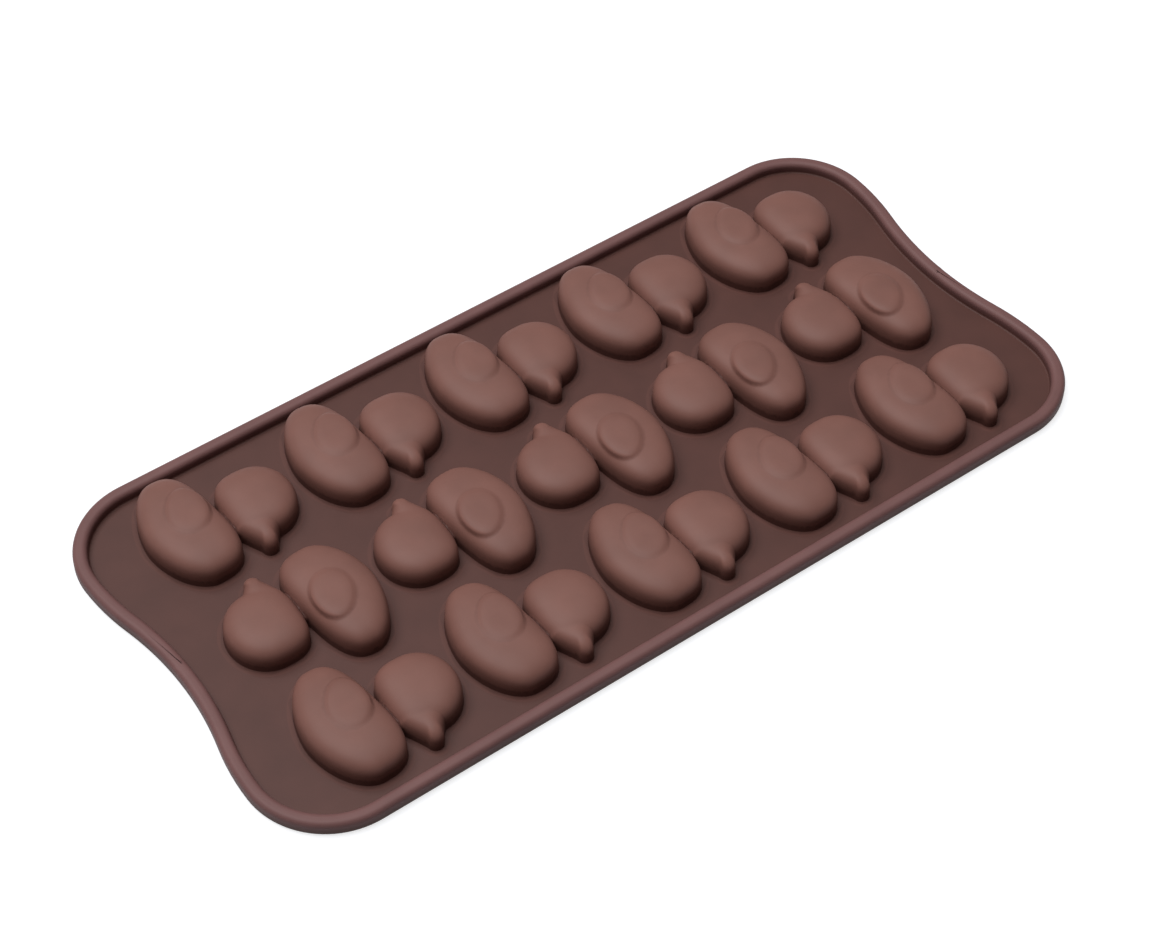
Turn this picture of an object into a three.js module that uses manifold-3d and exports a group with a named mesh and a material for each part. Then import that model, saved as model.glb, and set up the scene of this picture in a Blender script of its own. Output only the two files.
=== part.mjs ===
// A silicone mold for duckling chocolates, as it lies to dry: pour side down, cavity backs up.
// One flexible moulding in three kinds of region: a bead rim all round, a thin web inside it,
// and fifteen thin-walled duckling cups that stand up from the web and are open underneath.
// Millimetres, +X along the mold, +Y across it, +Z up. The origin is under the middle of the
// mold, on the surface that it lies on.

import * as THREE from 'three';
import { mergeVertices } from 'three/addons/utils/BufferGeometryUtils.js';
import Module from 'manifold-3d';

const wasm = await Module();
wasm.setup();

// The mold's outline: straight long sides, round corners, and short ends that draw in
const moldLength = 214;
const moldWidth = 104;
const cornerRadius = 19.5;
const endDrawIn = 3.9;
const endLobeRadius = 60;

// Rim bead and web
const rimWidth = 3.2;
const rimHeight = 3.9;
const rimFootRound = 1;
const webThickness = 1.2;
const seamGap = 0.3;

// The grid of cavities: what lies between neighbours, the least left at the mold's edges, and
// the grid's middle, which is a little nearer to the heads' end and to the beaks' side
const columnGap = 2.2;
const rowGap = 1;
const endMargin = 13;
const sideMargin = 5;
const gridMiddle = new THREE.Vector2(1, -0.6);

// The cup's wall, the steep lower part of its side, and how far a cut runs past what it cuts
const cupWall = 1.2;
const sideHeight = 1.6;
const sideDraft = 0.5;
const cutOverrun = 1;

// The duckling lies on its side: belly towards -X, head at +X, beak towards -Y, tail at +Y
const bodyLength = 30.2;
const bodyWidth = 18.4;
const bodyRise = 7.1;
const bodyPlace = new THREE.Vector2(-8.6, 1.3);
const headLength = 19.6;
const headWidth = 19.2;
const headRise = 6.7;
const headPlace = new THREE.Vector2(7.9, -0.5);
const neckLength = 15;
const neckWidth = 8.6;
const neckRise = 4.8;
const neckPlace = new THREE.Vector2(-0.3, -0.3);
const beakReach = 4.6;
const beakRootWidth = 8.4;
const beakTipWidth = 4.6;
const beakRise = 5.1;
const beakPlace = new THREE.Vector2(5.8, -9.3);
const wingLength = 14;
const wingWidth = 9.8;
const wingCrown = 1.2;
const wingRelief = 0.6;
const wingPlace = new THREE.Vector2(-6.5, 3);

// The duckling's reach from its own origin, and the grid that such ducklings fill
const bellyReach = bodyWidth / 2 - bodyPlace.x;
const faceReach = headWidth / 2 + headPlace.x;
const tailReach = bodyLength / 2 + bodyPlace.y;
const beakEndReach = beakReach - beakPlace.y;
const columnPitch = bellyReach + faceReach + columnGap;
const rowPitch = tailReach + beakEndReach + rowGap;
const columnCount = Math.floor((moldLength - 2 * endMargin + columnGap) / columnPitch);
const rowCount = Math.floor((moldWidth - 2 * sideMargin + rowGap) / rowPitch);

// Angles and curve powers have no length: a power of 2 is an ellipse, a higher one is boxier
const headTilt = THREE.MathUtils.degToRad(-6);
const beakTilt = THREE.MathUtils.degToRad(-16);
const wingTilt = THREE.MathUtils.degToRad(-6);
const bellyPower = 1.9;
const backPower = 3.4;
const domePower = 3.3;
const beakDomePower = 5;
const wingTaper = 0.06;

// Facets: points round each form, and rings up its dome
const bodyPoints = { outer: 16, inner: 12 };
const headPoints = { outer: 14, inner: 10 };
const neckPoints = { outer: 4, inner: 4 };
const beakPoints = { outer: 8, inner: 4 };
const wingPoints = { outer: 8, inner: 6 };
const domeRings = { outer: 3, inner: 2 };
const cornerSteps = 8;
const lobeSteps = 2;
const notchSteps = 6;
const rimTopSteps = 5;
const rimFootSteps = 2;

// A closed mesh of points and triangles as a solid that can be joined and cut
function solidOf(positions, indices) {
  const geometry = new THREE.BufferGeometry();
  geometry.setAttribute('position', new THREE.Float32BufferAttribute(positions, 3));
  geometry.setIndex(indices);
  return solidOfGeometry(geometry);
}

function solidOfGeometry(geometry) {
  geometry.deleteAttribute('normal');
  geometry.deleteAttribute('uv');
  const merged = mergeVertices(geometry);
  return new wasm.Manifold(new wasm.Mesh({
    numProp: 3,
    vertProperties: new Float32Array(merged.attributes.position.array),
    triVerts: new Uint32Array(merged.index.array),
  }));
}

function geometryOfSolid(solid) {
  const mesh = solid.getMesh();
  const geometry = new THREE.BufferGeometry();
  geometry.setAttribute('position', new THREE.BufferAttribute(mesh.vertProperties, 3));
  geometry.setIndex(new THREE.BufferAttribute(mesh.triVerts, 1));
  geometry.computeVertexNormals();
  return geometry;
}

// The mold's outline drawn in by an inset: arcs on fixed centres, so all insets run parallel
function moldOutline(inset) {
  const lobeY = moldWidth / 2 - cornerRadius;
  const radiusSum = (lobeY ** 2 + endDrawIn ** 2) / (2 * endDrawIn);
  const notchRadius = radiusSum - endLobeRadius;
  const sweep = Math.asin(lobeY / radiusSum);
  const corner = new THREE.EllipseCurve(
    moldLength / 2 - cornerRadius, lobeY, cornerRadius - inset, cornerRadius - inset,
    Math.PI / 2, 0, true).getPoints(cornerSteps);
  const lobe = new THREE.EllipseCurve(
    moldLength / 2 - endLobeRadius, lobeY, endLobeRadius - inset, endLobeRadius - inset,
    0, -sweep, true).getPoints(lobeSteps);
  const notch = new THREE.EllipseCurve(
    moldLength / 2 - endDrawIn + notchRadius, 0, notchRadius + inset, notchRadius + inset,
    Math.PI - sweep, Math.PI, false).getPoints(notchSteps / 2);
  const quarter = [...corner, ...lobe.slice(1), ...notch.slice(1)];
  const lower = quarter.slice(0, -1).reverse().map((p) => new THREE.Vector2(p.x, -p.y));
  const right = [...quarter, ...lower];
  const left = right.map((p) => new THREE.Vector2(-p.x, -p.y));
  return [...right, ...left].reverse();
}

// The rim's section as insets and heights, up the outside, over the top and down the inside
function rimSection() {
  const topRadius = rimWidth / 2;
  const section = [];
  for (let step = 0; step <= rimFootSteps; step += 1) {
    const turn = (Math.PI / 2) * (step / rimFootSteps);
    section.push([rimFootRound * (1 - Math.sin(turn)), rimFootRound * (1 - Math.cos(turn))]);
  }
  for (let step = 0; step <= rimTopSteps; step += 1) {
    const turn = Math.PI * (step / rimTopSteps);
    const inset = topRadius * (1 - Math.cos(turn));
    section.push([inset, rimHeight - topRadius * (1 - Math.sin(turn))]);
  }
  section.push([rimWidth, 0]);
  return section;
}

// The bead: its section carried round the outline and closed on itself
function rimBead() {
  const section = rimSection();
  const loops = section.map(([inset]) => moldOutline(inset));
  const count = loops[0].length;
  const positions = [];
  loops.forEach((loop, k) => loop.forEach((p) => positions.push(p.x, p.y, section[k][1])));
  const indices = [];
  for (let k = 0; k < section.length; k += 1) {
    const next = (k + 1) % section.length;
    for (let i = 0; i < count; i += 1) {
      const j = (i + 1) % count;
      const [a, b, c, d] = [k * count + i, k * count + j, next * count + j, next * count + i];
      indices.push(a, b, c, a, c, d);
    }
  }
  return solidOf(positions, indices);
}

// A point on a superellipse with one power for its -X half and one for its +X half
function superPoint(turn, halfWidth, halfLength, powerLow, powerHigh) {
  const power = 2 / (Math.cos(turn) < 0 ? powerLow : powerHigh);
  const x = Math.sign(Math.cos(turn)) * Math.abs(Math.cos(turn)) ** power;
  const y = Math.sign(Math.sin(turn)) * Math.abs(Math.sin(turn)) ** power;
  return new THREE.Vector2(x * halfWidth, y * halfLength);
}

function ring(count, pointAt) {
  return Array.from({ length: count }, (_, i) => pointAt((2 * Math.PI * (i + 0.5)) / count));
}

const origin = new THREE.Vector2();

function placed(outline, place, tilt = 0) {
  return outline.map((p) => p.clone().rotateAround(origin, tilt).add(place));
}

// Outlines in plan; grow moves an outline out, and a negative grow draws it in
function bodyOutline(grow, count) {
  const at = (turn) => superPoint(
    turn, bodyWidth / 2 + grow, bodyLength / 2 + grow, bellyPower, backPower);
  return placed(ring(count, at), bodyPlace);
}

function headOutline(grow, count) {
  const at = (turn) => superPoint(turn, headWidth / 2 + grow, headLength / 2 + grow, 2, 2);
  return placed(ring(count, at), headPlace, headTilt);
}

// The neck is drawn in sideways only, so that inside the cup it still reaches both hollows
function neckOutline(grow, count) {
  const at = (turn) => superPoint(turn, neckWidth / 2, neckLength / 2 + grow, 2, 2);
  return placed(ring(count, at), neckPlace);
}

// The beak: a round root inside the head that narrows along straight sides to a round tip
function beakOutline(grow, count) {
  const rootRadius = beakRootWidth / 2 + grow;
  const tipRadius = Math.max(beakTipWidth / 2 + grow, beakTipWidth / 4);
  const tipY = -(beakReach + grow - tipRadius);
  const at = (turn) => {
    const tip = Math.sin(turn) < 0;
    const radius = tip ? tipRadius : rootRadius;
    return new THREE.Vector2(radius * Math.cos(turn), radius * Math.sin(turn) + (tip ? tipY : 0));
  };
  return placed(ring(count, at), beakPlace, beakTilt);
}

// The folded wing: an egg, round towards the breast and narrow towards the tail
function wingOutline(grow, count) {
  const at = (turn) => {
    const p = superPoint(turn, wingWidth / 2 + grow, wingLength / 2 + grow, 2, 2);
    p.x *= 1 - wingTaper * Math.sin(turn);
    return p;
  };
  return placed(ring(count, at), wingPlace, wingTilt);
}

// A dome over an outline: a wall from its foot to the shoulder, then rings that close in
function dome(outline, place, { foot, shoulder, top, rings, power = domePower }) {
  const levels = [{ z: foot, share: 1 }];
  const reach = Math.max(...outline.map((p) => p.distanceTo(place)));
  const shoulderShare = 1 - sideDraft / reach;
  for (let k = 0; k < rings; k += 1) {
    const turn = (Math.PI / 2) * (k / rings);
    levels.push({
      z: shoulder + (top - shoulder) * Math.sin(turn) ** (2 / power),
      share: shoulderShare * Math.cos(turn) ** (2 / power),
    });
  }
  const count = outline.length;
  const positions = [];
  for (const { z, share } of levels) {
    for (const p of outline) {
      positions.push(place.x + (p.x - place.x) * share, place.y + (p.y - place.y) * share, z);
    }
  }
  const bottom = levels.length * count;
  positions.push(place.x, place.y, foot, place.x, place.y, top);
  const indices = [];
  for (let i = 0; i < count; i += 1) {
    const j = (i + 1) % count;
    indices.push(bottom, j, i);
    for (let k = 0; k + 1 < levels.length; k += 1) {
      const low = k * count;
      const high = low + count;
      indices.push(low + i, low + j, high + j, low + i, high + j, high + i);
    }
    const last = (levels.length - 1) * count;
    indices.push(last + i, last + j, bottom + 1);
  }
  return solidOf(positions, indices);
}

// An outline as a straight prism from one height to another
function prism(outline, low, high) {
  const extrusion = new THREE.ExtrudeGeometry(
    new THREE.Shape(outline), { depth: high - low, bevelEnabled: false });
  extrusion.translate(0, 0, low);
  return solidOfGeometry(extrusion);
}

// The whole duckling drawn in by a wall: body, head, neck and beak, and the wing's low crown
function duckling(wall, side) {
  const foot = wall > 0 ? -cutOverrun : 0;
  const shoulder = webThickness + sideHeight;
  const rings = domeRings[side];
  const topOf = (rise) => webThickness + rise - wall;
  const wingTop = topOf(bodyRise + wingRelief);
  const tall = { foot, shoulder, rings };
  const low = { foot, shoulder: shoulder - wall, rings };
  const crown = { foot, shoulder: wingTop - wingCrown, rings };
  const forms = [
    dome(bodyOutline(-wall, bodyPoints[side]), bodyPlace, { ...tall, top: topOf(bodyRise) }),
    dome(headOutline(-wall, headPoints[side]), headPlace, { ...tall, top: topOf(headRise) }),
    dome(neckOutline(-wall, neckPoints[side]), neckPlace, { ...low, top: topOf(neckRise) }),
    dome(beakOutline(-wall, beakPoints[side]), beakPlace,
      { ...low, top: topOf(beakRise), power: beakDomePower }),
    dome(wingOutline(-wall, wingPoints[side]), wingPlace, { ...crown, top: wingTop }),
  ];
  return forms.reduce((whole, form) => whole.add(form));
}

function ducklingCup() {
  return duckling(0, 'outer').subtract(duckling(cupWall, 'inner'));
}

// The duckling's foot, a seam wider than the cup, to cut the web with
function footCutter() {
  const low = -cutOverrun;
  const high = webThickness + cutOverrun;
  return [
    prism(bodyOutline(seamGap, bodyPoints.outer), low, high),
    prism(headOutline(seamGap, headPoints.outer), low, high),
    prism(neckOutline(seamGap, neckPoints.outer), low, high),
    prism(beakOutline(seamGap, beakPoints.outer), low, high),
  ].reduce((whole, form) => whole.add(form));
}

// Where each duckling lies: the rows alternate, every second one turned by half a turn
function cavityPlaces() {
  const places = [];
  for (let row = 1; row <= rowCount; row += 1) {
    for (let column = 1; column <= columnCount; column += 1) {
      places.push({
        name: `cavity_r${row}_c${column}`,
        x: gridMiddle.x + (column - (columnCount + 1) / 2) * columnPitch,
        y: gridMiddle.y + ((rowCount + 1) / 2 - row) * rowPitch,
        turned: row % 2 === 0,
      });
    }
  }
  return places;
}

function web(places) {
  const sheet = prism(moldOutline(rimWidth + seamGap), 0, webThickness);
  const cutter = footCutter();
  return places.reduce((rest, { x, y, turned }) => {
    const cut = cutter.rotate([0, 0, turned ? 180 : 0]).translate([x, y, 0]);
    return rest.subtract(cut);
  }, sheet);
}

function silicone() {
  return new THREE.MeshStandardMaterial({ color: '#835e58', roughness: 0.6, metalness: 0 });
}

function namedMesh(name, geometry) {
  const mesh = new THREE.Mesh(geometry, silicone());
  mesh.name = name;
  return mesh;
}

function buildMold() {
  const mold = new THREE.Group();
  const places = cavityPlaces();
  const cupGeometry = geometryOfSolid(ducklingCup());
  mold.add(namedMesh('rim_bead', geometryOfSolid(rimBead())));
  mold.add(namedMesh('web', geometryOfSolid(web(places))));
  for (const { name, x, y, turned } of places) {
    const cup = namedMesh(name, cupGeometry.clone());
    cup.position.set(x, y, 0);
    cup.rotation.z = turned ? Math.PI : 0;
    mold.add(cup);
  }
  return mold;
}

export default buildMold();
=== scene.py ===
# %% [markdown]
# # A silicone chocolate mold, pour side down
# The mold is one flexible moulding: a bead rim, a thin web and fifteen thin-walled duckling
# cups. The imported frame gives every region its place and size. This lesson dresses each region
# with a smooth, finely divided mesh and a satin silicone finish.

# %% The frame
import math

import bpy
import bmesh
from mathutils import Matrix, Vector


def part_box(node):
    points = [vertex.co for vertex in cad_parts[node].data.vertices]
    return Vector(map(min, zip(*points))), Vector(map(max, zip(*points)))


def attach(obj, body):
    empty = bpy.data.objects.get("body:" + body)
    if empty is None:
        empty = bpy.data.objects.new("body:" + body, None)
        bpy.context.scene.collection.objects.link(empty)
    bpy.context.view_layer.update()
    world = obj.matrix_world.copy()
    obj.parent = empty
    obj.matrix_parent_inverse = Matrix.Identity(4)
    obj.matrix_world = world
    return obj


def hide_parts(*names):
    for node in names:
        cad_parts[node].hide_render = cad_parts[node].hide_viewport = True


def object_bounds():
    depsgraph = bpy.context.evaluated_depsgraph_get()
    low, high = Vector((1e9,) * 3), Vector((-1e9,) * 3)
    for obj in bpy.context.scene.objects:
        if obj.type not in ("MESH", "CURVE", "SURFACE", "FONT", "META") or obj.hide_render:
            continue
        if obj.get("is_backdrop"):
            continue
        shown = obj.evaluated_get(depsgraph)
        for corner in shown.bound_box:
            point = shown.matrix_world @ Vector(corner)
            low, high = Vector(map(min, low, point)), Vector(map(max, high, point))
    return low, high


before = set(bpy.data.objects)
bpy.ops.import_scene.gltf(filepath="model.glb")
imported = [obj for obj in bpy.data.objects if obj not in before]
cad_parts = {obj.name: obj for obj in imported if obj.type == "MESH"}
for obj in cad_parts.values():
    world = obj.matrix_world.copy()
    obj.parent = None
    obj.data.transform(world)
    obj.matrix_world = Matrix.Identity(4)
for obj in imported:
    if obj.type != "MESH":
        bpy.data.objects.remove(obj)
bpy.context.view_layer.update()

# %% [markdown]
# Lengths are written in millimetres, as on a drawing, and Blender works in metres. One factor
# turns the first into the second. The regions' boxes say how thick the web is, how high the rim
# stands and how far the mold reaches, so these sizes aren't written a second time.

# %% Sizes of the moulding
MM = 0.001
rim_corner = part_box("rim_bead")[1]
web_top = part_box("web")[1].z / MM
rim_top = rim_corner.z / MM
half_length = rim_corner.x / MM
half_width = rim_corner.y / MM
print(f"web {web_top:.2f} mm thick, rim {rim_top:.2f} mm high, mold {2 * half_length:.0f} mm long")

# %% [markdown]
# ## Camera
# The photograph looks down on the mold from its left front corner with a long lens. The camera
# is placed by matched values: where it stands, how it is turned, and how long its lens is.

# %% Camera
CAMERA_PLACE_MM = (-234.7, -309.2, 444.6)
CAMERA_TURN_DEG = (41.08, -0.64, -36.38)
CAMERA_LENS = 82.67
CAMERA_SENSOR = 36
CAMERA_CLIP_MM = 10
bpy.ops.object.camera_add(
    location=[value * MM for value in CAMERA_PLACE_MM],
    rotation=[math.radians(value) for value in CAMERA_TURN_DEG])
camera = bpy.context.object
camera.data.sensor_width = CAMERA_SENSOR
camera.data.lens = CAMERA_LENS
camera.data.clip_start = CAMERA_CLIP_MM * MM
bpy.context.scene.camera = camera
print("camera", [round(value, 3) for value in camera.location])

# %% [markdown]
# ## Modelling helpers
# Operators act on whatever is selected, so the first helper clears the selection and then picks
# only its own objects. The others apply a modifier, join or cut one solid by another, copy a
# piece with its mesh, and write a piece's place into its mesh.


# %% Helpers for objects
def pick_only(*objects):
    """Selects these objects and nothing else, and makes the first one active."""
    if bpy.context.object and bpy.context.object.mode != "OBJECT":
        bpy.ops.object.mode_set(mode="OBJECT")
    bpy.ops.object.select_all(action="DESELECT")
    for item in objects:
        item.select_set(True)
    bpy.context.view_layer.objects.active = objects[0] if objects else None


def apply_modifier(piece, kind, **settings):
    """Adds a modifier with its settings and applies it at once."""
    pick_only(piece)
    modifier = piece.modifiers.new(kind.lower(), kind)
    for key, value in settings.items():
        setattr(modifier, key, value)
    bpy.ops.object.modifier_apply(modifier=modifier.name)


def combine(piece, other, operation):
    """Joins, cuts or trims a piece by another closed piece, and uses that piece up."""
    apply_modifier(piece, "BOOLEAN", object=other, operation=operation, solver="EXACT")
    bpy.data.objects.remove(other)


def copy_of(piece, name):
    """A copy with its own mesh."""
    twin = piece.copy()
    twin.data = piece.data.copy()
    twin.name = name
    bpy.context.scene.collection.objects.link(twin)
    return twin


def put_in_place(piece, place, turn=0.0):
    """Turns a piece about the upright axis, moves it, and writes both into its mesh."""
    piece.rotation_euler.z = turn
    piece.location = place
    pick_only(piece)
    bpy.ops.object.transform_apply(location=True, rotation=True, scale=True)
    return piece


# %% [markdown]
# ## The duckling's forms
# Seen from above, the duckling is an oval body with a blunt back, a round head with a beak, a low
# neck and a folded wing. All of them start from an outline in plan. A superellipse gives the
# ovals: a power of 2 is round, and a higher one is boxier. The beak is a teardrop.


# %% Outlines in plan
def superoval(half_x, half_y, points, power_low=2.0, power_high=2.0):
    """Points round an oval, with one power on its -X half and one on its +X half."""
    outline = []
    for index in range(points):
        turn = 2 * math.pi * (index + 0.5) / points
        power = 2 / (power_low if math.cos(turn) < 0 else power_high)
        x = math.copysign(abs(math.cos(turn)) ** power, math.cos(turn)) * half_x
        y = math.copysign(abs(math.sin(turn)) ** power, math.sin(turn)) * half_y
        outline.append((x, y))
    return outline


def teardrop(root_radius, tip_radius, reach, points):
    """Points round a beak: a wide half circle, straight flanks and a narrow tip towards -Y."""
    outline = []
    for index in range(points):
        turn = 2 * math.pi * (index + 0.5) / points
        at_tip = math.sin(turn) < 0
        radius = tip_radius if at_tip else root_radius
        drop = tip_radius - reach if at_tip else 0
        outline.append((radius * math.cos(turn), radius * math.sin(turn) + drop))
    return outline


def set_down(outline, place, tilt_deg=0.0):
    """Turns an outline and moves it to its place."""
    c, s = math.cos(math.radians(tilt_deg)), math.sin(math.radians(tilt_deg))
    return [(place[0] + c * x - s * y, place[1] + s * x + c * y) for x, y in outline]


# %% [markdown]
# The duckling lies on its side, with its belly towards -X, its head at +X, its beak towards -Y
# and its tail at +Y. Each form has a length along Y, a width along X and a rise above the web.
# The back is drawn in by a tuck and leans in to the tail, which opens a clear crease between
# body and head, and the beak is rooted well inside the head, so that the two flow together.

# %% Sizes of the duckling
BODY_LENGTH, BODY_WIDTH, BODY_RISE = 30.8, 18.4, 7.1
BODY_PLACE = (-8.6, 1.6)
BACK_TUCK, BACK_LEAN = 0.5, 0.09
BELLY_LEAN = 0.05
HEAD_LENGTH, HEAD_WIDTH, HEAD_RISE = 19.6, 17.6, 6.6
HEAD_PLACE, HEAD_TILT = (8.7, -0.5), -3.0
NECK_LENGTH, NECK_WIDTH, NECK_RISE = 8.0, 8.6, 3.0
NECK_PLACE = (-0.3, -1.2)
BEAK_REACH, BEAK_ROOT, BEAK_TIP, BEAK_RISE = 7.35, 11.2, 4.0, 5.7
BEAK_PLACE, BEAK_TILT = (5.5, -6.5), -7.5
WING_LENGTH, WING_WIDTH, WING_RELIEF, WING_CROWN = 14.6, 10.4, 0.62, 2.0
WING_PLACE, WING_TILT, WING_TAPER = (-6.6, 2.9), -16.5, 0.12
BELLY_POWER, BACK_POWER = 1.9, 3.0
NAPE_POWER, FACE_POWER = 3.0, 2.0
BODY_DOME, HEAD_DOME, BEAK_DOME, WING_DOME = 3.3, 3.0, 2.9, 4.0
SIDE_HEIGHT, SIDE_DRAFT = 1.6, 0.5
CUP_WALL = 1.2
print(f"duckling {BODY_LENGTH} mm from tail to breast, {BODY_RISE} mm above the web")

# %% [markdown]
# Each form gets a function for its outline. A grow of some tenths of a millimetre moves the
# outline out, and a negative one draws it in. That gives the cup's inside, its foot and its skirt
# from the same sizes as its outside.


# %% Outlines of the duckling
def body_outline(grow, points=72):
    """The body: a round belly at -X and, at +X, a blunter back that leans in to the tail."""
    half_x = BODY_WIDTH / 2 + grow
    oval = superoval(half_x, BODY_LENGTH / 2 + grow, points, BELLY_POWER, BACK_POWER)
    leaning = []
    for x, y in oval:
        inwards = BACK_TUCK + BACK_LEAN * y if x > 0 else BELLY_LEAN * max(y, 0)
        leaning.append((x - x / half_x * inwards, y))
    return set_down(leaning, BODY_PLACE)


def head_outline(grow, points=72):
    """The head: flatter along the nape, at -X, and round in the face."""
    oval = superoval(HEAD_WIDTH / 2 + grow, HEAD_LENGTH / 2 + grow, points, NAPE_POWER, FACE_POWER)
    return set_down(oval, HEAD_PLACE, HEAD_TILT)


def neck_outline(grow, points=40):
    """The neck: a low oval in the crease between body and head."""
    oval = superoval(NECK_WIDTH / 2, NECK_LENGTH / 2 + grow, points)
    return set_down(oval, NECK_PLACE)


def beak_outline(grow, points=48):
    """The beak, rooted inside the head."""
    tip = max(BEAK_TIP / 2 + grow, BEAK_TIP / 4)
    drop = teardrop(BEAK_ROOT / 2 + grow, tip, BEAK_REACH + grow, points)
    return set_down(drop, BEAK_PLACE, BEAK_TILT)


def wing_outline(grow, points=56):
    """The folded wing: an egg, narrow towards the tail."""
    oval = superoval(WING_WIDTH / 2 + grow, WING_LENGTH / 2 + grow, points)
    egg = [(x * (1 - WING_TAPER * y / (WING_LENGTH / 2)), y) for x, y in oval]
    return set_down(egg, WING_PLACE, WING_TILT)


print("body points", len(body_outline(0)), "beak points", len(beak_outline(0)))

# %% [markdown]
# A filled circle is the start of every dome and prism. Its points are set on the outline, and
# the face is then extruded: straight up for a prism, and up and inwards, ring by ring, for a
# dome. The last ring is merged into one point at the top. Sculpting would reach such soft forms
# too, but rings keep every dome true to its sizes.


# %% Extruding an outline
def filled_outline(name, outline, height):
    """A flat face on an outline, at a height in millimetres."""
    pick_only()
    bpy.ops.mesh.primitive_circle_add(vertices=len(outline), radius=MM, fill_type="NGON")
    piece = bpy.context.object
    piece.name = name
    for vertex, (x, y) in zip(piece.data.vertices, outline):
        vertex.co = (x * MM, y * MM, height * MM)
    return piece


def extrude_up(rise, share=1.0, centre=(0, 0, 0)):
    """Extrudes the selected face upwards and scales it about a centre in plan."""
    bpy.ops.mesh.extrude_region_move(TRANSFORM_OT_translate={"value": (0, 0, rise * MM)})
    if share != 1.0:
        bpy.ops.transform.resize(value=(share, share, 1), center_override=centre)


def close_shape(piece):
    """Leaves edit mode with every face pointing outwards."""
    bpy.ops.mesh.select_all(action="SELECT")
    bpy.ops.mesh.normals_make_consistent(inside=False)
    bpy.ops.object.mode_set(mode="OBJECT")
    return piece


def prism(name, outline, low, high):
    """An outline as a straight block from one height to another."""
    piece = filled_outline(name, outline, low)
    bpy.ops.object.mode_set(mode="EDIT")
    bpy.ops.mesh.select_all(action="SELECT")
    extrude_up(high - low)
    return close_shape(piece)


# %% [markdown]
# A dome has a steep side up to its shoulder, with a little draft so that it leaves its tool, and
# a superellipse arch from there to the top. The last ring stays a share of a step away from the
# top, so that it keeps a small face to merge.

# %% Domes
DOME_RINGS = 14
LAST_STEP_SHARE = 0.4


def dome(name, outline, place, heights, power):
    """A steep side from the foot to the shoulder, then a superellipse arch to the top."""
    foot, shoulder, top = heights
    centre = (place[0] * MM, place[1] * MM, 0)
    reach = max(math.dist(point, place) for point in outline)
    piece = filled_outline(name, outline, foot)
    bpy.ops.object.mode_set(mode="EDIT")
    bpy.ops.mesh.select_all(action="SELECT")
    extrude_up(shoulder - foot, 1 - SIDE_DRAFT / reach, centre)
    share, height = 1.0, shoulder
    for ring in range(1, DOME_RINGS + 1):
        turn = math.pi / 2 * ring / (DOME_RINGS + LAST_STEP_SHARE)
        next_share = math.cos(turn) ** (2 / power)
        next_height = shoulder + (top - shoulder) * math.sin(turn) ** (2 / power)
        extrude_up(next_height - height, next_share / share, centre)
        share, height = next_share, next_height
    extrude_up(top - height)
    bpy.ops.mesh.merge(type="CENTER")
    return close_shape(piece)


# %% [markdown]
# The whole duckling is its five domes joined. Its outside has no wall taken off, and its inside
# is the same duckling with every outline drawn in and every top lowered by the wall. The wing is
# only a low crown on the body, so its dome starts just below the body's own top.


# %% A whole duckling
def duckling(name, wall, foot):
    """All forms of the duckling, drawn in by a wall, joined into one solid."""
    shoulder = web_top + SIDE_HEIGHT
    low_shoulder = shoulder - wall
    top = web_top - wall
    wing_top = top + BODY_RISE + WING_RELIEF
    whole = dome(name, body_outline(-wall), BODY_PLACE,
                 (foot, shoulder, top + BODY_RISE), BODY_DOME)
    for part in (
            dome("head", head_outline(-wall), HEAD_PLACE,
                 (foot, shoulder, top + HEAD_RISE), HEAD_DOME),
            dome("neck", neck_outline(-wall), NECK_PLACE,
                 (foot, low_shoulder, top + NECK_RISE), BODY_DOME),
            dome("beak", beak_outline(-wall), BEAK_PLACE,
                 (foot, low_shoulder, top + BEAK_RISE), BEAK_DOME),
            dome("wing", wing_outline(-wall), WING_PLACE,
                 (foot, wing_top - WING_CROWN, wing_top), WING_DOME)):
        combine(whole, part, "UNION")
    return whole


# %% [markdown]
# ## A cup
# The cup is the duckling with a smaller duckling taken out of it. Bevels along the creases would
# tangle where three forms meet, so a voxel remesh turns the joined forms into one even skin, and
# a few smoothing passes melt the creases into the soft fillets that a moulding has.

# %% The cup's skin
VOXEL = 0.28
MELT_PASSES, MELT_FACTOR = 9, 0.5
KEPT_FACES = 0.4
OVERRUN = 3.0
cup = duckling("duckling_outside", 0.0, -OVERRUN)
combine(cup, duckling("duckling_inside", CUP_WALL, -2 * OVERRUN), "DIFFERENCE")
apply_modifier(cup, "REMESH", mode="VOXEL", voxel_size=VOXEL * MM)
apply_modifier(cup, "SMOOTH", factor=MELT_FACTOR, iterations=MELT_PASSES)
apply_modifier(cup, "DECIMATE", ratio=KEPT_FACES)
print("cup faces before its foot", len(cup.data.polygons))

# %% [markdown]
# The cup meets the web in a sharp line, so its foot isn't melted. A patch of web with an opening
# in it is joined on after the smoothing, and the cup is then trimmed to a narrow skirt round the
# duckling's foot. The skirt is made of the patch's top and a rim at its edge. Below, towards the
# table, it is open. The patch's underside and the trim's lie in one plane, where the boolean
# leaves a few faces twice. Mesh validation drops the twins, because an exporter stumbles on them.

# %% The cup's foot
SKIRT = 0.95
PATCH = 4.0


def footprint(name, grow, low, high):
    """The duckling's outline as a block, drawn out or in by a few tenths of a millimetre."""
    whole = prism(name, body_outline(grow), low, high)
    for outline in (head_outline(grow), neck_outline(grow), beak_outline(grow)):
        combine(whole, prism("part", outline, low, high), "UNION")
    return whole


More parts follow.
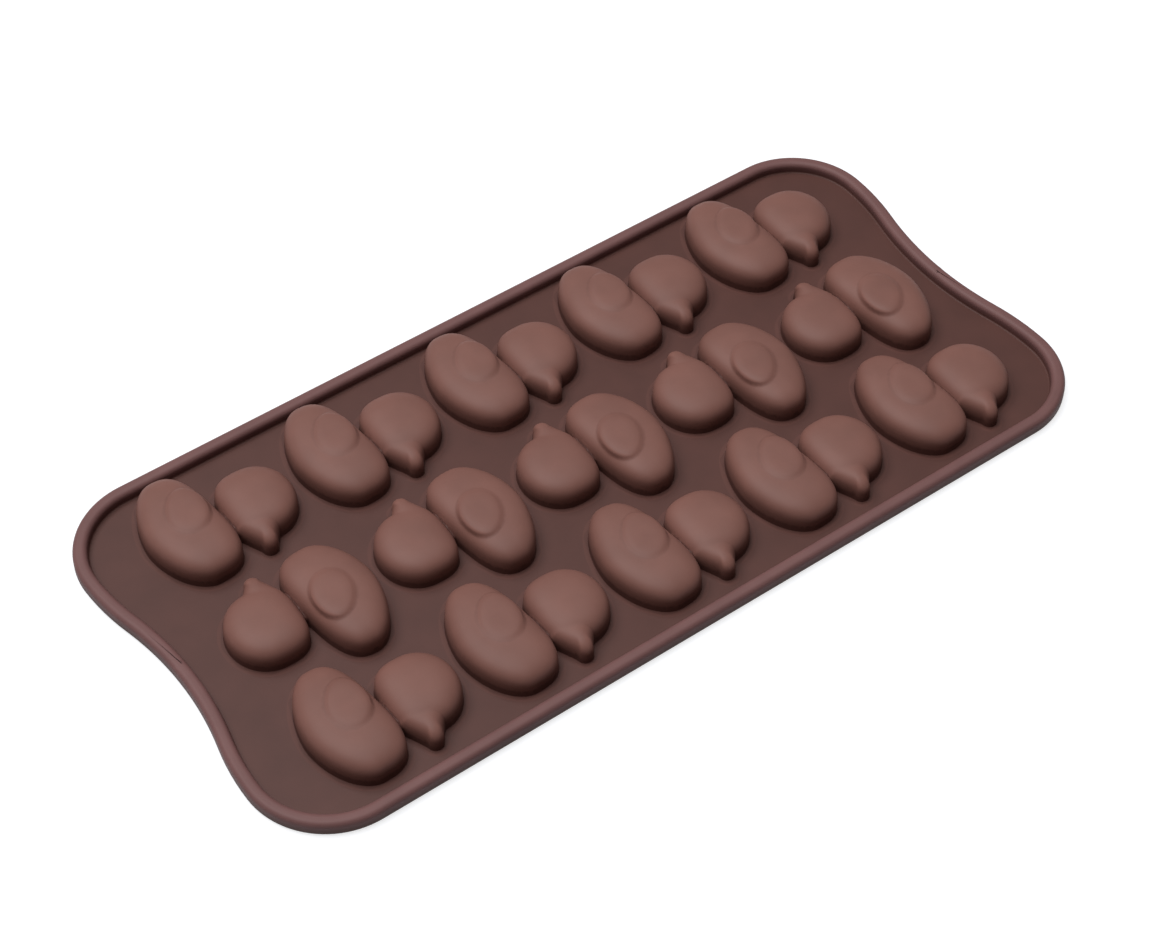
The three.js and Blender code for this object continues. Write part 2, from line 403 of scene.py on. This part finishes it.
patch_half_x = max(abs(x) for x, _ in body_outline(PATCH))
patch_half_y = max(abs(y) for _, y in body_outline(PATCH))
patch = prism("patch", [(patch_half_x, patch_half_y), (-patch_half_x, patch_half_y),
                        (-patch_half_x, -patch_half_y), (patch_half_x, -patch_half_y)],
              0.0, web_top)
combine(patch, footprint("patch_opening", -CUP_WALL / 2, -OVERRUN, web_top + OVERRUN), "DIFFERENCE")
combine(cup, patch, "UNION")
web_cutter = footprint("web_cutter", SKIRT, -OVERRUN, web_top + OVERRUN)
combine(cup, footprint("cup_trim", SKIRT, 0.0, web_top + 2 * BODY_RISE), "INTERSECT")
had_twins = cup.data.validate()
print("cup faces", len(cup.data.polygons), "twins dropped", had_twins)

# %% [markdown]
# The cups' creases are painted dark, which is painted shade, and their edges paler, which is
# partly dust and partly a painted highlight. Painting that by hand on fifteen cups would look
# random, so the dirt brush does it: it gives every corner of the mesh a grey by how closed in or
# how exposed it is. The grey is kept as an attribute that the material reads later, and because
# it is made before the cup is copied, all the copies carry it.

# %% Painted crease shade and paler edges on the cup
CREASE_GREY_BLUR, CREASE_GREY_BLUR_PASSES = 1.0, 3
pick_only(cup)
bpy.ops.geometry.color_attribute_add(name="crease_shade_and_edge_paling", domain="CORNER", data_type="BYTE_COLOR",
                                     color=(1, 1, 1, 1))
bpy.ops.paint.vertex_color_dirt(blur_strength=CREASE_GREY_BLUR, blur_iterations=CREASE_GREY_BLUR_PASSES)
print("attributes", [layer.name for layer in cup.data.color_attributes])

# %% [markdown]
# ## Rim and web
# The mold's outline has straight long sides, round corners and ends that draw in. It is made of
# arcs on fixed centres, so outlines at any inset run parallel, as the bead's two edges do.

# %% The mold's outline
CORNER_RADIUS = 19.5
END_DRAW_IN = 3.9
END_LOBE_RADIUS = 60.0
CORNER_STEPS, LOBE_STEPS, NOTCH_STEPS = 24, 6, 10


def arc(centre, radius, start, end, steps):
    """Points on an arc, with both ends."""
    turns = [start + (end - start) * step / steps for step in range(steps + 1)]
    return [(centre[0] + radius * math.cos(t), centre[1] + radius * math.sin(t)) for t in turns]


def mold_outline(inset):
    """The outline drawn in by an inset, from arcs on fixed centres."""
    lobe_y = half_width - CORNER_RADIUS
    radius_sum = (lobe_y ** 2 + END_DRAW_IN ** 2) / (2 * END_DRAW_IN)
    notch_radius = radius_sum - END_LOBE_RADIUS
    sweep = math.asin(lobe_y / radius_sum)
    corner = arc((half_length - CORNER_RADIUS, lobe_y), CORNER_RADIUS - inset,
                 math.pi / 2, 0, CORNER_STEPS)
    lobe = arc((half_length - END_LOBE_RADIUS, lobe_y), END_LOBE_RADIUS - inset,
               0, -sweep, LOBE_STEPS)
    notch = arc((half_length - END_DRAW_IN + notch_radius, 0), notch_radius + inset,
                math.pi - sweep, math.pi, NOTCH_STEPS)
    quarter = corner + lobe[1:] + notch[1:]
    right = quarter + [(x, -y) for x, y in reversed(quarter[:-1])]
    return right + [(-x, -y) for x, y in right]


print("outline points", len(mold_outline(0.0)))

# %% [markdown]
# One sheet is the start of both regions: a block with a well sunk into it, which leaves the bead
# standing round the edge. To round the bead, its edges have to be picked for the bevel operator.
# They are found in code, by the height and the outline that both their ends lie on.

# %% Picking edges
RIM_WIDTH = 3.2
HEIGHT_TOLERANCE, PLAN_TOLERANCE = 0.02, 0.05
outline_at = {inset: mold_outline(inset) for inset in (0.0, RIM_WIDTH)}


def near_outline(point, inset, height):
    """Whether a point lies on the outline at this inset and height."""
    place = (point.x / MM, point.y / MM)
    at_height = abs(point.z / MM - height) < HEIGHT_TOLERANCE
    return at_height and min(math.dist(corner, place) for corner in outline_at[inset]) < PLAN_TOLERANCE


def pick_edges(piece, rule):
    """Selects the edges whose both ends pass a rule."""
    bpy.ops.object.mode_set(mode="EDIT")
    bpy.ops.mesh.select_mode(type="EDGE")
    bpy.ops.mesh.select_all(action="DESELECT")
    form = bmesh.from_edit_mesh(piece.data)
    for edge in form.edges:
        edge.select_set(all(rule(vertex.co) for vertex in edge.verts))
    bmesh.update_edit_mesh(piece.data)


print("outlines at insets", sorted(outline_at))

# %% [markdown]
# The bead's top edges get a large bevel, which makes its section round, its foot a smaller one,
# and the corner where it meets the web a small fillet. The sheet is then parted along a seam
# where that fillet runs out, so the rim and the web meet on the flat, where no line shows.

# %% Rim and web
RIM_TOP_ROUND, RIM_TOP_STEPS = 1.25, 8
RIM_FOOT_ROUND = 1.0
RIM_INNER_ROUND = 0.4
SMALL_ROUND_STEPS = 6
rim = prism("rim_bead_moulded", outline_at[0.0], 0.0, rim_top)
combine(rim, prism("well", outline_at[RIM_WIDTH], web_top, rim_top + OVERRUN), "DIFFERENCE")
pick_edges(rim, lambda co: near_outline(co, 0.0, 0.0))
bpy.ops.mesh.bevel(offset=RIM_FOOT_ROUND * MM, segments=SMALL_ROUND_STEPS, affect="EDGES")
pick_edges(rim, lambda co: near_outline(co, RIM_WIDTH, web_top))
bpy.ops.mesh.bevel(offset=RIM_INNER_ROUND * MM, segments=SMALL_ROUND_STEPS, affect="EDGES")
pick_edges(rim, lambda co: near_outline(co, 0.0, rim_top) or near_outline(co, RIM_WIDTH, rim_top))
bpy.ops.mesh.bevel(offset=RIM_TOP_ROUND * MM, segments=RIM_TOP_STEPS, affect="EDGES")
close_shape(rim)
seam = mold_outline(RIM_WIDTH + RIM_INNER_ROUND)
combine(rim, prism("rim_core", seam, -OVERRUN, rim_top + OVERRUN), "DIFFERENCE")
web = prism("web_moulded", seam, 0.0, web_top)
print("rim faces", len(rim.data.polygons))

# %% [markdown]
# ## Fifteen cups
# Each packed cup's box says where its duckling lies. The middle of that box isn't quite the point
# that the outlines above are measured from, so the small step between the two is named, and it
# turns round with the ducklings of the middle row. The cup is copied to each place, and so is the
# cutter, which opens the web for it.

# %% Cups in their places
BOX_MIDDLE = Vector((-0.09 * MM, 1.21 * MM, 0))
pieces = {"rim_bead": rim, "web": web}
cutters = []
for name in sorted(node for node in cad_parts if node.startswith("cavity_")):
    low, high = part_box(name)
    turned = "_r2_" in name
    place = (low + high) / 2 + (BOX_MIDDLE if turned else -BOX_MIDDLE)
    place.z = 0
    turn = math.pi if turned else 0.0
    cutters.append(put_in_place(copy_of(web_cutter, "web_cut"), place, turn))
    pieces[name] = put_in_place(copy_of(cup, name + "_moulded"), place, turn)
pick_only(*cutters)
bpy.ops.object.join()
combine(web, bpy.context.object, "DIFFERENCE")
for spare in (cup, web_cutter):
    bpy.data.objects.remove(spare)
print("cups", len(pieces) - 2, "web faces", len(web.data.polygons))


# %% [markdown]
# ## Silicone
# The mold is silicone rubber, moulded in a finely blasted steel tool. To the eye that gives a
# satin skin: no sharp reflections, a soft broad sheen and a very fine grain. Two small helpers
# come first. One turns a colour as it is read off a screen into the linear numbers that Blender
# mixes, and the other adds a node with its settings and links.


# %% Material helpers
def srgb(hex_code):
    """A colour written as sRGB hex, as linear numbers."""
    parts = [int(hex_code[i:i + 2], 16) / 255 for i in (0, 2, 4)]
    linear = [((p + 0.055) / 1.055) ** 2.4 if p > 0.04045 else p / 12.92 for p in parts]
    return (*linear, 1.0)


def add_node(tree, kind, links=None, inputs=None, **settings):
    """Adds a node with its settings and input values, and links sockets into its inputs."""
    node = tree.nodes.new(kind)
    for key, value in settings.items():
        setattr(node, key, value)
    for socket, value in (inputs or {}).items():
        node.inputs[socket].default_value = value
    for socket, source in (links or {}).items():
        tree.links.new(source, node.inputs[socket])
    return node


# %% [markdown]
# The backs of the cups and the rim are paler than the web in the low places between them. A
# blend by height makes that; low on the cup walls and at the rim's inner foot its dark tone is
# painted shade. On top of it comes a slow, cloudy mottling, and on the cups the grey that the dirt
# brush left: below a first value the skin counts as a crease and takes the low tone as painted
# shade, and above a second one as an edge and turns paler, partly as dust and partly as a painted
# highlight.

# %% Tones, painted shade and pale edges
# The low tones darken the web and the feet of the rim and cups; at those feet it is painted shade.
LOW_TONE = "4e2e27"
WEB_TONE = "54342e"
RIM_TONE = "765351"
RAISED_TONE = "80584f"
CLOUD_MM, CLOUD_DETAIL = 9.0, 3.0
CLOUD_LOW, CLOUD_HIGH = 0.3, 0.7
CLOUD_DARK, CLOUD_PALE = 0.93, 1.07
# Crease greys: painted shade in the creases. Edge greys: paler edges, dust and painted highlight.
CREASE_SHADE_FULL, CREASE_SHADE_END = 0.25, 0.44
EDGE_PALING_START, EDGE_PALING_FULL, EDGE_GAIN = 0.54, 0.6, 1.18


def add_crease_shade_and_edge_paling(tree, paler, brightness_scale):
    """Paints shade into creases and pales edges, as dust and painted highlight, by the cup's own
    attribute.
    """
    crease_and_edge_grey = add_node(tree, "ShaderNodeVertexColor", layer_name="crease_shade_and_edge_paling")
    open_skin = add_node(tree, "ShaderNodeMapRange", {"Value": crease_and_edge_grey.outputs["Color"]},
                         {"From Min": CREASE_SHADE_FULL, "From Max": CREASE_SHADE_END})
    edge = add_node(tree, "ShaderNodeMapRange", {"Value": crease_and_edge_grey.outputs["Color"]},
                    {"From Min": EDGE_PALING_START, "From Max": EDGE_PALING_FULL,
                     "To Min": 1.0, "To Max": EDGE_GAIN})
    paler = add_node(tree, "ShaderNodeMath", {0: paler, 1: open_skin.outputs["Result"]},
                     operation="MULTIPLY")
    brightness_scale = add_node(tree, "ShaderNodeMath", {0: brightness_scale, 1: edge.outputs["Result"]},
                       operation="MULTIPLY")
    return paler.outputs["Value"], brightness_scale.outputs["Value"]


def skin_colour(tree, place, blend_low, blend_high, tones, crease_shade_and_edge_paling):
    """Low and raised tones blended by height and mottled, with painted crease shade and pale edges if
    asked.
    """
    axes = add_node(tree, "ShaderNodeSeparateXYZ", {"Vector": place})
    raised = add_node(tree, "ShaderNodeMapRange", {"Value": axes.outputs["Z"]},
                      {"From Min": blend_low * MM, "From Max": blend_high * MM},
                      interpolation_type="SMOOTHSTEP")
    cloud = add_node(tree, "ShaderNodeTexNoise", {"Vector": place},
                     {"Scale": 1 / (CLOUD_MM * MM), "Detail": CLOUD_DETAIL})
    spread = add_node(tree, "ShaderNodeMapRange", {"Value": cloud.outputs["Fac"]},
                      {"From Min": CLOUD_LOW, "From Max": CLOUD_HIGH,
                       "To Min": CLOUD_DARK, "To Max": CLOUD_PALE})
    paler, brightness_scale = raised.outputs["Result"], spread.outputs["Result"]
    if crease_shade_and_edge_paling:
        paler, brightness_scale = add_crease_shade_and_edge_paling(tree, paler, brightness_scale)
    blend = add_node(tree, "ShaderNodeMix", {"Factor": paler}, data_type="RGBA")
    tone_sockets = [socket for socket in blend.inputs if socket.type == "RGBA"]
    for socket, tone in zip(tone_sockets, tones):
        socket.default_value = srgb(tone)
    blended = [socket for socket in blend.outputs if socket.type == "RGBA"][0]
    mottled = add_node(tree, "ShaderNodeVectorMath", {0: blended, "Scale": brightness_scale},
                       operation="SCALE")
    return mottled.outputs["Vector"]


# %% [markdown]
# The grain comes from the blasted tool. Its real pits are well under a tenth of a millimetre
# wide, too fine to show in the picture, so they are drawn coarser, and shallow. Silicone's index
# of refraction is about 1.41, and a dusty skin mirrors a little less than a clean one.

# %% The silicone skin
GRAIN_MM, GRAIN_DETAIL = 0.45, 2.0
GRAIN_BUMP, GRAIN_DEPTH_MM = 0.35, 0.02
SILICONE_IOR, SILICONE_SPECULAR = 1.41, 0.4


def silicone(name, blend, tones, roughness, crease_shade_and_edge_paling=False):
    """Satin silicone that is darker at the low height of its blend and paler at the high one."""
    material = bpy.data.materials.new(name)
    material.use_nodes = True
    tree = material.node_tree
    shader = tree.nodes["Principled BSDF"]
    shader.inputs["Roughness"].default_value = roughness
    shader.inputs["IOR"].default_value = SILICONE_IOR
    shader.inputs["Specular IOR Level"].default_value = SILICONE_SPECULAR
    place = add_node(tree, "ShaderNodeTexCoord").outputs["Object"]
    colour = skin_colour(tree, place, web_top + blend[0], web_top + blend[1], tones, crease_shade_and_edge_paling)
    tree.links.new(colour, shader.inputs["Base Color"])
    grain = add_node(tree, "ShaderNodeTexNoise", {"Vector": place},
                     {"Scale": 1 / (GRAIN_MM * MM), "Detail": GRAIN_DETAIL})
    bump = add_node(tree, "ShaderNodeBump", {"Height": grain.outputs["Fac"]},
                    {"Strength": GRAIN_BUMP, "Distance": GRAIN_DEPTH_MM * MM})
    tree.links.new(bump.outputs["Normal"], shader.inputs["Normal"])
    return material


# %% [markdown]
# Three skins share the recipe. Their blends run between two heights, given here above the web's
# top. The web lies at the low end of its own blend, so it is dark all over, and it is a touch
# smoother than the rubbed rim and cups.

# %% Finishes on their pieces
RUBBED_ROUGHNESS, WEB_ROUGHNESS = 0.55, 0.5
# Low in the rim's and the cups' blends the darker tone is painted shade at their feet.
RIM_BLEND, WEB_BLEND, CUP_BLEND = (-0.3, 1.6), (0.0, 3.0), (0.2, 3.0)
SMOOTH_BELOW_DEG = 40
rim_skin = silicone("moulded_silicone_rim", RIM_BLEND, (LOW_TONE, RIM_TONE), RUBBED_ROUGHNESS)
web_skin = silicone("moulded_silicone_web", WEB_BLEND, (WEB_TONE, RAISED_TONE), WEB_ROUGHNESS)
cup_skin = silicone("moulded_silicone_cup", CUP_BLEND, (WEB_TONE, RAISED_TONE), RUBBED_ROUGHNESS,
                    crease_shade_and_edge_paling=True)
for node, piece in pieces.items():
    pick_only(piece)
    bpy.ops.object.shade_smooth_by_angle(angle=math.radians(SMOOTH_BELOW_DEG))
    piece.data.materials.clear()
    piece.data.materials.append({"rim_bead": rim_skin, "web": web_skin}.get(node, cup_skin))
    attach(piece, "root")
    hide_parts(node)
print("finished pieces", len(pieces))

# %% [markdown]
# ## Stage
# The photograph has a plain white ground and soft light from above and a little from the left:
# the tops are evenly lit, their left edges a little brighter, and the sides facing the camera
# fall dark. One broad softbox, high up behind the mold, gives that.

# %% Softbox
SOFTBOX_PLACE = (-0.36, 0.46, 2.0)
SOFTBOX_SIZE = 2.0
SOFTBOX_WATTS = 54.0
bpy.ops.object.light_add(type="AREA", location=SOFTBOX_PLACE)
softbox = bpy.context.object
softbox.data.size = SOFTBOX_SIZE
softbox.data.energy = SOFTBOX_WATTS
softbox.rotation_euler = (-Vector(softbox.location)).to_track_quat("-Z", "Y").to_euler()
bpy.context.scene.view_settings.view_transform = "Standard"
print("softbox", softbox.data.energy, "W")

# %% [markdown]
# The floor glows, but only for rays from the camera and for reflections, so the ground is white
# without more light on the object, and it still takes the object's shadow. The world glows only
# in reflections, where it gives the silicone a little of the white room around it.

# %% Floor and world
FLOOR_SIZE = 6
FLOOR_TONE = "a8aab0"
FLOOR_ROUGHNESS = 0.9
FLOOR_GLOW, FLOOR_SHEEN = 0.75, 0.6
WORLD_SHEEN = 0.3
pick_only()
bpy.ops.mesh.primitive_plane_add(size=FLOOR_SIZE)
floor = bpy.context.object
floor.name = "floor"
floor_paint = bpy.data.materials.new("floor_paint")
floor_paint.use_nodes = True
tree = floor_paint.node_tree
paint = tree.nodes["Principled BSDF"]
paint.inputs["Base Color"].default_value = srgb(FLOOR_TONE)
paint.inputs["Roughness"].default_value = FLOOR_ROUGHNESS
paint.inputs["Emission Color"].default_value = (1, 1, 1, 1)
rays = add_node(tree, "ShaderNodeLightPath")
mirrored = add_node(tree, "ShaderNodeMath", {0: rays.outputs["Is Glossy Ray"]}, {1: FLOOR_SHEEN},
                    operation="MULTIPLY")
seen = add_node(tree, "ShaderNodeMath",
                {0: rays.outputs["Is Camera Ray"], 2: mirrored.outputs["Value"]},
                {1: FLOOR_GLOW}, operation="MULTIPLY_ADD")
tree.links.new(seen.outputs["Value"], paint.inputs["Emission Strength"])
floor.data.materials.append(floor_paint)
floor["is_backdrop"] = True

world = bpy.data.worlds.new("studio")
bpy.context.scene.world = world
world.use_nodes = True
sky = world.node_tree.nodes["Background"]
sky.inputs["Color"].default_value = (1, 1, 1, 1)
rays = add_node(world.node_tree, "ShaderNodeLightPath")
strength = add_node(world.node_tree, "ShaderNodeMath", {0: rays.outputs["Is Glossy Ray"]},
                    {1: WORLD_SHEEN}, operation="MULTIPLY")
world.node_tree.links.new(strength.outputs["Value"], sky.inputs["Strength"])
print("floor", FLOOR_SIZE, "m across")

# %% [markdown]
# ## The dressed mold's box
# The dressed mold must not outgrow the imported one, so its box is printed.

low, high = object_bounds()
print("visual box", [round(v, 4) for v in low], [round(v, 4) for v in high])
